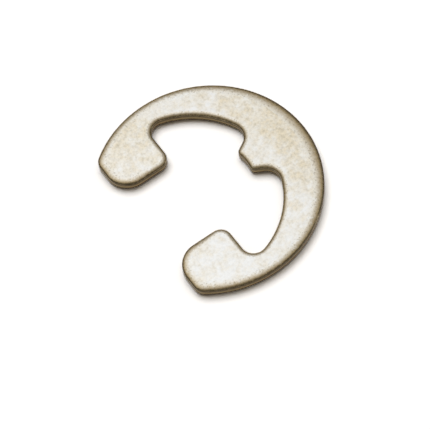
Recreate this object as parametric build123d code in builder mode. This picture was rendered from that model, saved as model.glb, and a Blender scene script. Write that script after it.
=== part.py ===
"""E-style retaining ring for a 1/4 inch shaft, stamped from spring steel sheet.

The ring snaps sideways into a groove: a nose at each side of the mouth and a prong that
faces the mouth grip the bottom of the groove. Between them the rim is relieved along one
arc struck below the ring's centre, so the section is deepest behind the prong and tapers
evenly towards both feet, like a curved beam that flexes without one weak place.

Frame: the shaft's axis is Z, the ring lies on z = 0 with the edge that the punch rolled
over facing up, and the mouth opens towards -Y. All sizes are in millimetres.
"""
import os
from math import sqrt

from build123d import *

# Rim and sheet
rim_diameter = 13.39
sheet = 0.635

# Mouth, feet and noses
mouth_width = 5.2
foot_cut = 2.385
foot_outer_radius = 0.75
foot_inner_radius = 1.44
nose_y = -0.735
nose_radius = 0.715

# Relief pockets between the noses and the prong
relief_radius = 5.46
pocket_radius = 0.775

# Prong that faces the mouth
seat_diameter = 5.35
prong_length = 1.395
prong_tip_width = 1.42
prong_flare = 29.5
prong_root_radius = 0.92
prong_tip_radius = 0.32

# Edges: rolled over by the punch above, broken by tumbling below
rolled_edge_radius = 0.2
broken_edge_radius = 0.15

# The feet lie foot_cut inside the rim's circle, and the relief passes prong_length above
# the seat, so both follow when a circle changes.
rim_radius = rim_diameter / 2
seat_radius = seat_diameter / 2
foot_y = foot_cut - rim_radius
relief_centre_y = seat_radius + prong_length - relief_radius
tip_x = prong_tip_width / 2
tip_y = sqrt(seat_radius**2 - tip_x**2)
hanging = (Align.CENTER, Align.MAX)


def corners(sketch, row):
    """The sketch's corners in one row, counted upwards from the feet, from left to right."""
    return sketch.vertices().group_by(Axis.Y)[row].sort_by(Axis.X)


# The prong ends on the groove's circle, and its flanks open towards the rim.
with BuildSketch() as prong:
    with BuildLine():
        ThreePointArc((-tip_x, tip_y), (0, seat_radius), (tip_x, tip_y))
        left_flank = PolarLine((-tip_x, tip_y), rim_radius, 90 + prong_flare)
        right_flank = PolarLine((tip_x, tip_y), rim_radius, 90 - prong_flare)
        Line(left_flank @ 1, right_flank @ 1)
    make_face()

# The relief and the mouth are one opening, which the prong reaches into.
with BuildSketch() as opening:
    with Locations((0, relief_centre_y)):
        Circle(relief_radius)
    with Locations((0, nose_y)):
        Rectangle(rim_diameter, rim_diameter, align=hanging, mode=Mode.SUBTRACT)
        Rectangle(mouth_width, rim_diameter, align=hanging)
    add(prong.sketch, mode=Mode.SUBTRACT)

# Each round takes its corner away, so the corners are rounded from the top row down.
with BuildSketch() as outline:
    Circle(rim_radius)
    with Locations((0, foot_y)):
        Rectangle(rim_diameter, rim_diameter, align=hanging, mode=Mode.SUBTRACT)
    add(opening.sketch, mode=Mode.SUBTRACT)
    fillet(corners(outline, 3), prong_root_radius)
    fillet(corners(outline, 2), prong_tip_radius)
    fillet(corners(outline, 1)[0::3], pocket_radius)
    fillet(corners(outline, 1)[1:3], nose_radius)
    fillet(corners(outline, 0)[0::3], foot_outer_radius)
    fillet(corners(outline, 0)[1:3], foot_inner_radius)

with BuildPart() as e_clip:
    add(outline.sketch)
    extrude(amount=sheet)
    fillet(e_clip.faces().sort_by(Axis.Z)[-1].edges(), rolled_edge_radius)
    fillet(e_clip.faces().sort_by(Axis.Z)[0].edges(), broken_edge_radius)

e_clip.part.label = "e_clip"
os.makedirs("parts", exist_ok=True)
export_step(e_clip.part, "parts/e_clip.step")
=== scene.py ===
"""Looks of the e clip: a ring stamped from spring steel, tumbled, zinc plated and passivated.

The clip lies flat with the edge that the punch rolled over facing up. Lengths named in
capitals are millimetres and are turned to metres where a mesh is made or the camera is
placed. The lamps' are metres.
"""

import bpy
import numpy as np
from mathutils import Matrix


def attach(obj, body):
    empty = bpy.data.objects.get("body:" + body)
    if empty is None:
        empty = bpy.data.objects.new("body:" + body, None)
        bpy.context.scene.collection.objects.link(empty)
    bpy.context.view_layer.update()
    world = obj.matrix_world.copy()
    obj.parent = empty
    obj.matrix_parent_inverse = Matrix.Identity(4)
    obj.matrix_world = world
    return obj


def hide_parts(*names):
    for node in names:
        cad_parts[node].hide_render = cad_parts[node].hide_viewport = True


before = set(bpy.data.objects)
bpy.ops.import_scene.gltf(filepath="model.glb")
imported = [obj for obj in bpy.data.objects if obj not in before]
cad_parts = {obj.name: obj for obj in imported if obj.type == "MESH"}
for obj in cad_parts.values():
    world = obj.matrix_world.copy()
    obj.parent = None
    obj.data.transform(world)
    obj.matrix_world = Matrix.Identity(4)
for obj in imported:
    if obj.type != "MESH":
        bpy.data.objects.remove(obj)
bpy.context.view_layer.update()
MM = 0.001

# The stamping: the shaft's axis is at the origin and the mouth opens towards -Y
RIM_RADIUS = 6.695
SHEET = 0.635
MOUTH_WIDTH = 5.2
FOOT_Y = -4.31
FOOT_OUTER_RADIUS = 0.75
FOOT_INNER_RADIUS = 1.44
NOSE_Y = -0.735
NOSE_RADIUS = 0.715
RELIEF_RADIUS = 5.46
RELIEF_CENTRE_Y = -1.39
POCKET_RADIUS = 0.775
SEAT_RADIUS = 2.675
PRONG_TIP_WIDTH = 1.42
PRONG_FLARE = np.radians(29.5)
PRONG_ROOT_RADIUS = 0.92
PRONG_TIP_RADIUS = 0.32

# The cut edge. A pair is for the rim and feet, then for the opening. The fringe is the
# strip of flat face along the edge. The opening's fringe and roll stay under the prong
# tip's radius, past which the face would fold. ROLL_CROWN is how much wider the roll is at
# the top of the rim, and SKIN is how far the surface stays inside the nominal outline.
FRINGE = (0.72, 0.3)
ROLL_WIDTH = (0.4, 0.29)
ROLL_DEPTH = (0.128, 0.157)
ROLL_CROWN = 0.3
ROLL_BLEND = 0.5
BURR_RADIUS = 0.098
SKIN = 0.004
STATION_SPACING = 0.06

# The camera: its bearings, its lens, and its reach from a point on the upper face
AZIMUTH, ELEVATION, ROLL = np.radians([63.30, 62.79, 9.62])
RIGHT = np.array([np.cos(AZIMUTH), np.sin(AZIMUTH), 0])
AWAY = np.array([-np.sin(AZIMUTH), np.cos(AZIMUTH), 0])
UP = np.array([0, 0, 1])
LENS, SENSOR_WIDTH = 151.3, 36
CAMERA_REACH = 102.8
CAMERA_AIM = (1.859, -0.792, SHEET)

# The light, placed as the camera sees the floor: to the right, away and up. The canopy's
# spread and cut are cosines, where it fades in. A lamp has a place, a size and a level.
CANOPY_MIDDLE = (-0.008, 0.102)
CANOPY_SPREAD = (0.617, 0.999)
CANOPY_CUT = (-0.104, 0.02)
CANOPY_LEVEL = 0.66
ROOM_LEVEL = (0.08, 0.31)
ROOM_COLOUR = ("#FFECD0", "#FFFAF2")
LIGHT_COLOUR = "#FAFCFF"
LAMPS = {
    "key": ((-0.142, 0.326, 0.789), 0.6, 1.0),
    "glint": ((0.3, -0.03, 0.055), 0.03, 15.0),
}
FLOOR_REACH = 600
FLOOR_DROP = 0.12
FLOOR_COLOUR = "#F9F9F9"
FLOOR_GAIN = 3.5


# ---------------------------------------------------------------------------
# The outline
# ---------------------------------------------------------------------------

def half_rounds():
    """The rounds of the outline's right half: centre, radius, +1 for a bulge or -1 for a
    hollow, the bearings where the round begins and ends, and 1 for the rim's roll-over or
    0 for the opening's.

    The half runs from the top of the rim, round the foot, nose, pocket and prong, to the
    middle of the prong's tip. Each centre lies one radius from both of its neighbours, so
    every round meets the next in a common tangent.
    """
    origin = np.zeros(2)
    relief = np.array([0, RELIEF_CENTRE_Y])
    along = np.array([np.sin(PRONG_FLARE), np.cos(PRONG_FLARE)])
    across = np.array([along[1], -along[0]])
    tip_x = PRONG_TIP_WIDTH / 2
    tip = np.array([tip_x, np.sqrt(SEAT_RADIUS**2 - tip_x**2)])

    def at_height(y, centre, reach):
        """The point at height y that lies that reach to the right of a centre."""
        return np.array([np.sqrt(reach**2 - (y - centre[1])**2), y])

    def beside_flank(shift, centre, reach):
        """The point on the flank's parallel that lies that reach from a centre."""
        start = tip + across * shift - centre
        lean = start @ along
        return centre + start + along * (np.sqrt(lean**2 - start @ start + reach**2) - lean)

    def bearing(a, b):
        return np.arctan2(b[1] - a[1], b[0] - a[0])

    outer = at_height(FOOT_Y + FOOT_OUTER_RADIUS, origin, RIM_RADIUS - FOOT_OUTER_RADIUS)
    inner = np.array([MOUTH_WIDTH / 2 + FOOT_INNER_RADIUS, FOOT_Y + FOOT_INNER_RADIUS])
    nose = np.array([MOUTH_WIDTH / 2 + NOSE_RADIUS, NOSE_Y - NOSE_RADIUS])
    pocket = at_height(NOSE_Y + POCKET_RADIUS, relief, RELIEF_RADIUS - POCKET_RADIUS)
    root = beside_flank(PRONG_ROOT_RADIUS, relief, RELIEF_RADIUS - PRONG_ROOT_RADIUS)
    corner = beside_flank(-PRONG_TIP_RADIUS, origin, SEAT_RADIUS + PRONG_TIP_RADIUS)
    quarter = np.pi / 2
    return [
        (origin, RIM_RADIUS, 1, quarter, bearing(origin, outer), 1),
        (outer, FOOT_OUTER_RADIUS, 1, bearing(origin, outer), -quarter, 1),
        (inner, FOOT_INNER_RADIUS, 1, -quarter, -2 * quarter, 1),
        (nose, NOSE_RADIUS, 1, -2 * quarter, -3 * quarter, 0),
        (pocket, POCKET_RADIUS, -1, -quarter, bearing(relief, pocket), 0),
        (relief, RELIEF_RADIUS, -1, bearing(relief, pocket), bearing(relief, root), 0),
        (root, PRONG_ROOT_RADIUS, -1, bearing(relief, root), 2 * quarter - PRONG_FLARE, 0),
        (corner, PRONG_TIP_RADIUS, 1, -PRONG_FLARE, bearing(corner, origin), 0),
        (origin, SEAT_RADIUS, -1, bearing(origin, corner), quarter, 0),
    ]


def outline():
    """Stations evenly spaced along the closed outline, their outward normals, and each
    one's share of the rim's roll-over, averaged over ROLL_BLEND along the loop.

    A round gives centre + radius * direction as its bearing turns, and the straight
    stretches are what lies between one round's end and the next one's start. The right
    half is mirrored in x, and the loop runs clockwise seen from above.
    """
    points, normals, shares = [], [], []
    for centre, radius, bulge, first, last, share in half_rounds():
        turn = np.linspace(first, last, 120)
        direction = np.stack([np.cos(turn), np.sin(turn)], 1)
        points.append(centre + radius * direction)
        normals.append(bulge * direction)
        shares.append(np.full(len(turn), share))
    points, normals = np.concatenate(points), np.concatenate(normals)
    travel = np.append(0, np.cumsum(np.linalg.norm(np.diff(points, axis=0), axis=1)))
    even = np.linspace(0, travel[-1], int(travel[-1] / STATION_SPACING))
    rows = (*points.T, *normals.T, np.concatenate(shares))
    half = np.stack([np.interp(even, travel, row) for row in rows], 1)
    mirrored = half[-2:0:-1] * [-1, 1, -1, 1, 1]
    loop = np.concatenate([half, mirrored])
    normals = loop[:, 2:4] / np.linalg.norm(loop[:, 2:4], axis=1, keepdims=True)
    reach = int(ROLL_BLEND / STATION_SPACING)
    window = np.hanning(2 * reach + 3)[1:-1]
    share = np.convolve(np.pad(loop[:, 4], reach, "wrap"), window / window.sum(), "valid")
    return loop[:, :2], normals, share


# ---------------------------------------------------------------------------
# The ring
# ---------------------------------------------------------------------------

def cut_edge(fringe, width, depth):
    """Inset from the outline, height above the floor and band, down the cut edge.

    The band counts 0 to 1 across the fringe of the flat face, 1 to 2 down the punch's
    roll-over, a quarter of an ellipse, and 2 to 3 down the upright wall. Below it a
    quarter circle of BURR_RADIUS breaks the lower edge. A row is a step down the edge,
    a column a station.
    """
    level = np.ones_like(width)[None]
    turn = np.linspace(0, np.pi / 2, 15)[:, None]
    fall = np.linspace(0, 1, 8)[1:-1, None]
    inset = np.concatenate([
        fringe * level,
        width * (1 - np.sin(turn)),
        0 * fall * level,
        BURR_RADIUS * (1 - np.cos(turn)) * level,
        2 * BURR_RADIUS * level,
    ])
    height = np.concatenate([
        SHEET * level,
        SHEET - depth * (1 - np.cos(turn)),
        (SHEET - depth) * (1 - fall) + BURR_RADIUS * fall,
        BURR_RADIUS * (1 - np.sin(turn)) * level,
        0 * level,
    ])
    band = np.concatenate([
        0 * level,
        1 + turn / (np.pi / 2) * level,
        2 + fall * level,
        3 + 0 * turn * level,
        3 * level,
    ])
    return inset, height, band


def ring_mesh():
    """The clip as one closed surface: the cut edge carried along the outline.

    A point is its station on the outline, moved inwards along the normal by the cut
    edge's inset and lifted to the cut edge's height. The first and the last row bound
    the two flat faces.
    """
    station, normal, share = outline()
    fringe, width, depth = (opening + (rim - opening) * share
                            for rim, opening in (FRINGE, ROLL_WIDTH, ROLL_DEPTH))
    width = width + ROLL_CROWN * share * np.clip(station[:, 1] / RIM_RADIUS, 0, 1)**3
    inset, height, band = cut_edge(fringe, width, depth)
    rows, columns = inset.shape
    plan = station[None] - normal[None] * (inset + SKIN)[:, :, None]
    vertices = np.concatenate([plan, height[:, :, None]], 2).reshape(-1, 3) * MM
    grid = np.arange(rows * columns).reshape(rows, columns)
    ahead = np.roll(grid, -1, axis=1)
    quads = np.stack([grid[:-1], ahead[:-1], ahead[1:], grid[1:]], -1).reshape(-1, 4)
    faces = [*quads.tolist(), grid[0, ::-1].tolist(), grid[-1].tolist()]
    mesh = bpy.data.meshes.new("e_clip_ring")
    mesh.from_pydata(vertices.tolist(), [], faces)
    mesh.validate()
    mesh.shade_smooth()
    layer = mesh.attributes.new("edge_band", "FLOAT", "POINT")
    layer.data.foreach_set("value", band.astype(np.float32).ravel())
    return mesh


# ---------------------------------------------------------------------------
# Materials
# ---------------------------------------------------------------------------

def srgb(hex_colour):
    """Linear RGBA of an sRGB hex colour."""
    c = np.array([int(hex_colour[i:i + 2], 16) for i in (1, 3, 5)]) / 255
    linear = np.where(c <= 0.04045, c / 12.92, ((c + 0.055) / 1.055) ** 2.4)
    return (*linear.tolist(), 1.0)


def add(tree, kind, settings=None, give=None):
    """Adds a shader node, sets it up and returns an output, the first unless it is named.

    The settings are the node's properties, and its inputs by name or by place. An input
    takes a number, a hex colour or another node's output. Only the inputs and outputs
    that the node's mode shows are counted.
    """
    node = tree.nodes.new("ShaderNode" + kind)
    for name, value in (settings or {}).items():
        if isinstance(name, str) and hasattr(node, name):
            setattr(node, name, value)
            continue
        inputs = [socket for socket in node.inputs if socket.enabled]
        socket = inputs[name] if isinstance(name, int) else next(
            socket for socket in inputs if socket.name == name)
        if isinstance(value, bpy.types.NodeSocket):
            tree.links.new(value, socket)
        else:
            socket.default_value = srgb(value) if isinstance(value, str) else value
    return next((socket for socket in node.outputs
                 if socket.enabled and give in (None, socket.name)), None)


def material(name):
    """A material with an empty node tree, and the tree."""
    made = bpy.data.materials.new(name)
    made.use_nodes = True
    made.node_tree.nodes.clear()
    return made, made.node_tree


def plated_steel():
    """Spring steel, stamped, tumbled, zinc plated and passivated.

    Tumbling leaves a satin face with faint dents. The passivate dries in a straw bloom
    with dark specks, thick behind the prong and on the left foot and thin along the
    opening, and frays out to tan at the rim. The cut edge goes from tan on the roll-over to
    a near-black line where the wall begins, lighter brown down the wall and dark at its
    foot. The near-black line is painted shade for the dark room that the end of the
    roll-over reflects, and the dark foot is painted shade for the contact shadow there.
    """
    made, tree = material("tumbled_zinc_plate")
    place = add(tree, "TexCoord", give="Object")
    mm = add(tree, "VectorMath", {"operation": "SCALE", "Vector": place, "Scale": 1 / MM})

    # Noise, each kind with features of about its period in millimetres. The real dents,
    # specks and grains are a few hundredths across, and are drawn coarser so that they show.
    noise = {}
    for name, period, detail, roughness in (
            ("mottle", 0.7, 5.0, 0.72), ("speck", 0.2, 3.0, 0.7), ("drift", 2.0, 2.0, 0.5),
            ("border", 0.16, 3.0, 0.6), ("dent", 0.3, 3.0, 0.5), ("grain", 0.1, 2.0, 0.5)):
        noise[name] = add(tree, "TexNoise", {
            "noise_dimensions": "4D", "Vector": mm, "W": len(noise), "Scale": 1 / period,
            "Detail": detail, "Roughness": roughness})
        noise[name] = add(tree, "Math", {"operation": "SUBTRACT", 0: noise[name], 1: 0.5})

    # Where the bloom pooled: x, y, reach and depth
    bloom = 0.0
    for x, y, reach, depth in ((-0.7, 5.7, 6.5, 0.72), (-5.2, -1.8, 3.8, 0.5)):
        gap = add(tree, "VectorMath", {"operation": "DISTANCE", 0: mm, 1: (x, y, SHEET)})
        pool = add(tree, "MapRange", {
            "Value": gap, "From Min": reach, "From Max": 0.0, "To Max": depth})
        bloom = add(tree, "Math", {"operation": "MAXIMUM", 0: pool, 1: bloom})

    # It is thin in a strip along the opening, but not on the feet
    radius = add(tree, "VectorMath", {
        "operation": "DISTANCE", 0: mm, 1: (0, RELIEF_CENTRE_Y, SHEET)})
    strip = add(tree, "MapRange", {
        "interpolation_type": "SMOOTHSTEP", "Value": radius, "From Min": RELIEF_RADIUS + 0.1,
        "From Max": RELIEF_RADIUS + 0.7, "To Min": 0.3})
    place_y = add(tree, "SeparateXYZ", {"Vector": mm}, give="Y")
    foot = add(tree, "MapRange", {"Value": place_y, "From Min": 0.5, "From Max": NOSE_Y})
    kept = add(tree, "Math", {"operation": "MAXIMUM", 0: strip, 1: foot})
    bloom = add(tree, "Math", {"operation": "MULTIPLY", 0: bloom, 1: kept})

    # Mottling, stronger where the bloom is thick
    contrast = add(tree, "MapRange", {"Value": bloom, "To Min": 2.5, "To Max": 4.2})
    for name, amount in (("mottle", contrast), ("drift", 0.5)):
        bloom = add(tree, "Math", {
            "operation": "MULTIPLY_ADD", 0: noise[name], 1: amount, 2: bloom})
    bloom = add(tree, "Math", {"operation": "ADD", 0: bloom, 1: 0.2, "use_clamp": True})
    face = add(tree, "Mix", {
        "data_type": "RGBA", "Factor": bloom, "A": "#EAEAE8", "B": "#E2D8C2"})

    # Specks: dirt in the pits of the skin
    pit = add(tree, "MapRange", {
        "interpolation_type": "SMOOTHSTEP", "Value": noise["speck"], "From Min": -0.15,
        "From Max": 0.25})
    dirt = add(tree, "MapRange", {
        "Value": bloom, "From Min": 0.2, "To Min": 0.16, "To Max": 0.45})
    pit = add(tree, "Math", {"operation": "MULTIPLY", 0: pit, 1: dirt})
    face = add(tree, "Mix", {"data_type": "RGBA", "Factor": pit, "A": face, "B": "#8A8069"})

    # The cut edge's colour by its band, ragged, and a frayed border with the face. The
    # near-black line at the top of the wall and the dark foot are painted shade.
    edge = add(tree, "Attribute", {"attribute_name": "edge_band"}, give="Fac")
    frayed = add(tree, "Math", {
        "operation": "MULTIPLY_ADD", 0: noise["border"], 1: 2.4, 2: edge})
    frayed = add(tree, "MapRange", {
        "interpolation_type": "SMOOTHSTEP", "Value": frayed, "From Min": 0.5,
        "From Max": 1.25})
    edge = add(tree, "Math", {
        "operation": "MULTIPLY_ADD", 0: noise["border"], 1: 0.4, 2: edge})
    down = add(tree, "Math", {"operation": "DIVIDE", 0: edge, 1: 3.0})
    edge_tint_and_shade = add(tree, "ValToRGB", {"Fac": down})
    stops = edge_tint_and_shade.node.color_ramp.elements
    # Painted shade: the near-black 2.0 at the wall's top and the dark 3.0 at its foot
    bands = ((1.0, "#E1DDD3"), (1.5, "#BBA883"), (2.0, "#1E160B"), (2.5, "#917D58"),
             (3.0, "#2E2314"))
    while len(stops) < len(bands):
        stops.new(1.0)
    for stop, (band, colour) in zip(stops, bands):
        stop.position = band / 3
        stop.color = srgb(colour)
    colour = add(tree, "Mix", {"data_type": "RGBA", "Factor": frayed, "A": face, "B": edge_tint_and_shade})

    # Grit along the border: dark grains where the tan begins
    grit = add(tree, "MapRange", {
        "Value": edge, "From Min": 0.3, "From Max": 1.0, "To Max": 0.45})
    grain = add(tree, "MapRange", {
        "interpolation_type": "SMOOTHSTEP", "Value": noise["grain"], "From Min": 0.02,
        "From Max": 0.2})
    grain = add(tree, "Math", {"operation": "MULTIPLY", 0: grit, 1: grain})
    colour = add(tree, "Mix", {
        "data_type": "RGBA", "Factor": grain, "A": colour, "B": "#7A6A4C"})

    # The punch's burnish, from the foot of the roll-over, is smoother than the face
    burnish = 1.0
    for start, end in ((1.45, 1.65), (2.2, 1.95)):
        step = add(tree, "MapRange", {
            "interpolation_type": "SMOOTHSTEP", "Value": edge, "From Min": start,
            "From Max": end})
        burnish = add(tree, "Math", {"operation": "MULTIPLY", 0: step, 1: burnish})
    satin = add(tree, "MapRange", {"Value": burnish, "To Min": 0.44, "To Max": 0.16})
    dents = add(tree, "Bump", {
        "Strength": 0.3, "Distance": 0.01 * MM, "Height": noise["dent"]})
    metal = add(tree, "BsdfPrincipled", {
        "Metallic": 1.0, "Base Color": colour, "Roughness": satin, "Normal": dents})
    add(tree, "OutputMaterial", {"Surface": metal})
    return made


def white_board():
    """Matt white board.

    Its colour is lifted for camera, glossy and transmission rays, so that it shows as
    white and still holds the clip's shadow.
    """
    made, tree = material("matt_white_board")
    seen = 0.0
    for ray in ("Is Camera Ray", "Is Glossy Ray", "Is Transmission Ray"):
        ray = add(tree, "LightPath", give=ray)
        seen = add(tree, "Math", {"operation": "MAXIMUM", 0: ray, 1: seen})
    lifted = [FLOOR_GAIN * level for level in srgb(FLOOR_COLOUR)]
    colour = add(tree, "Mix", {
        "data_type": "RGBA", "Factor": seen, "A": FLOOR_COLOUR, "B": lifted})
    board = add(tree, "BsdfDiffuse", {"Color": colour})
    add(tree, "OutputMaterial", {"Surface": board})
    return made


ring = bpy.data.objects.new("e_clip_ring", ring_mesh())
ring.data.materials.append(plated_steel())
bpy.context.scene.collection.objects.link(ring)
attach(ring, "root")
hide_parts("e_clip")


# ---------------------------------------------------------------------------
# Floor, light and camera
# ---------------------------------------------------------------------------

def floor():
    """A plain board under the clip, lower by the height of the clip's burrs."""
    reach, low = FLOOR_REACH * MM, -FLOOR_DROP * MM
    mesh = bpy.data.meshes.new("floor")
    mesh.from_pydata([(-reach, -reach, low), (reach, -reach, low), (reach, reach, low),
                      (-reach, reach, low)], [], [(0, 1, 2, 3)])
    mesh.materials.append(white_board())
    piece = bpy.data.objects.new("floor", mesh)
    bpy.context.scene.collection.objects.link(piece)


def put(name, data, right, up, back, place):
    """Puts a lamp or camera at a place, with its axes along three directions."""
    piece = bpy.data.objects.new(name, data)
    rows = [[*axes, where] for *axes, where in zip(right, up, back, place)]
    piece.matrix_world = Matrix([*rows, [0, 0, 0, 1]])
    bpy.context.scene.collection.objects.link(piece)
    return piece


def canopy():
    """A pale canopy, bright overhead and beyond the clip, in a dim warm room.

    The canopy's level is a smooth step of how near a direction is to its middle, times a
    smooth step down towards the camera. The room's light comes from all round. A pair is
    for the floor, whose shadow the room warms, then for the metal, which shows a paler one.
    """
    middle = RIGHT * CANOPY_MIDDLE[0] + AWAY * CANOPY_MIDDLE[1] + UP
    middle = middle / np.linalg.norm(middle)
    world = bpy.data.worlds.new("canopy")
    world.use_nodes = True
    tree = world.node_tree
    tree.nodes.clear()
    way = add(tree, "TexCoord", give="Generated")
    level = CANOPY_LEVEL
    for axis, (start, end) in ((middle, CANOPY_SPREAD), (AWAY, CANOPY_CUT)):
        along = add(tree, "VectorMath", {"operation": "DOT_PRODUCT", 0: way, 1: axis},
                    give="Value")
        step = add(tree, "MapRange", {
            "interpolation_type": "SMOOTHSTEP", "Value": along, "From Min": start,
            "From Max": end})
        level = add(tree, "Math", {"operation": "MULTIPLY", 0: step, 1: level})
    sky = add(tree, "Background", {"Color": LIGHT_COLOUR, "Strength": level})
    metal = add(tree, "LightPath", give="Is Glossy Ray")
    room_level = add(tree, "MapRange", {
        "Value": metal, "To Min": ROOM_LEVEL[0], "To Max": ROOM_LEVEL[1]})
    room_colour = add(tree, "Mix", {
        "data_type": "RGBA", "Factor": metal, "A": ROOM_COLOUR[0], "B": ROOM_COLOUR[1]})
    room = add(tree, "Background", {"Color": room_colour, "Strength": room_level})
    light = add(tree, "AddShader", {0: sky, 1: room})
    add(tree, "OutputWorld", {"Surface": light})
    bpy.context.scene.world = world


def softbox(name, place, size, level):
    """A square lamp aimed at the clip, that looks as bright as level, where one is white."""
    where = RIGHT * place[0] + AWAY * place[1] + UP * place[2]
    back = where / np.linalg.norm(where)
    across = RIGHT - back * (RIGHT @ back)
    across = across / np.linalg.norm(across)
    lamp = bpy.data.lights.new(name, "AREA")
    lamp.size = size
    lamp.color = srgb(LIGHT_COLOUR)[:3]
    lamp.energy = level * np.pi * size**2
    put(name, lamp, across, np.cross(back, across), back, where)


def camera():
    """A long lens that looks at a point on the upper face, rolled about its own axis."""
    back = UP * np.sin(ELEVATION) - AWAY * np.cos(ELEVATION)
    upright = np.cross(back, RIGHT)
    right = RIGHT * np.cos(ROLL) - upright * np.sin(ROLL)
    up = RIGHT * np.sin(ROLL) + upright * np.cos(ROLL)
    data = bpy.data.cameras.new("camera")
    data.lens = LENS
    data.sensor_width = SENSOR_WIDTH
    data.clip_start = 0.005
    place = (np.array(CAMERA_AIM) + back * CAMERA_REACH) * MM
    bpy.context.scene.camera = put("camera", data, right, up, back, place)


floor()
canopy()
for lamp_name, (lamp_place, lamp_size, lamp_level) in LAMPS.items():
    softbox(lamp_name, lamp_place, lamp_size, lamp_level)
camera()
bpy.context.scene.view_settings.view_transform = "Standard"
